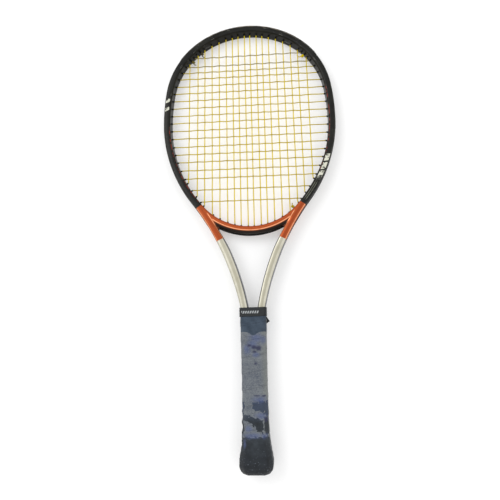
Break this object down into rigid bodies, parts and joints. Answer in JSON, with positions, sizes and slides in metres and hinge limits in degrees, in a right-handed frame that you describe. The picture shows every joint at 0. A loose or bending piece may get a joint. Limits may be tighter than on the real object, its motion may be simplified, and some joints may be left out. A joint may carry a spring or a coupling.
{
  "type": "tennis racket",
  "caption": "Strung oversize tennis racket: hollow hairpin frame with open throat and bridge, woven string bed, grommet strips, bumper guard and a wrapped octagonal grip with a flared butt.",
  "frame": {"origin": "centre of the butt's flat end face", "axes": "+Y along the racket from the butt to the head, +Z out of the front of the face, +X across the face"},
  "size_m": [0.2778, 0.6858, 0.0418],
  "materials": {
    "frame_paint": "clear-coated paint, black head, copper throat and silver shafts",
    "bridge_paint": "clear-coated metallic copper paint",
    "moulded_black": "moulded, satin",
    "main_string": "smooth extruded polyester",
    "cross_string": "smooth extruded polyester",
    "pallet_foam": "moulded foam",
    "cap_plastic": "moulded, matt",
    "staple_steel": "drawn wire",
    "base_grip": "synthetic leather",
    "collar_rubber": "matt",
    "overgrip": "worn tacky overgrip, faded",
    "tape": "matt adhesive tape"
  },
  "bodies": {
    "root": {"frame_tube": "frame_paint", "throat_bridge": "bridge_paint", "bumper_guard": "moulded_black", "grommet_strip_left": "moulded_black", "grommet_strip_right": "moulded_black", "grommet_strip_throat": "moulded_black", "main_string": "main_string", "cross_string": "cross_string", "handle_pallet_front": "pallet_foam", "handle_pallet_back": "pallet_foam", "butt_cap": "cap_plastic", "butt_plate": "cap_plastic", "butt_cap_staple_front": "staple_steel", "butt_cap_staple_back": "staple_steel", "base_grip": "base_grip", "base_grip_staple": "staple_steel", "grip_collar": "collar_rubber", "overgrip": "overgrip", "finishing_tape": "tape"}
  },
  "joints": []
}
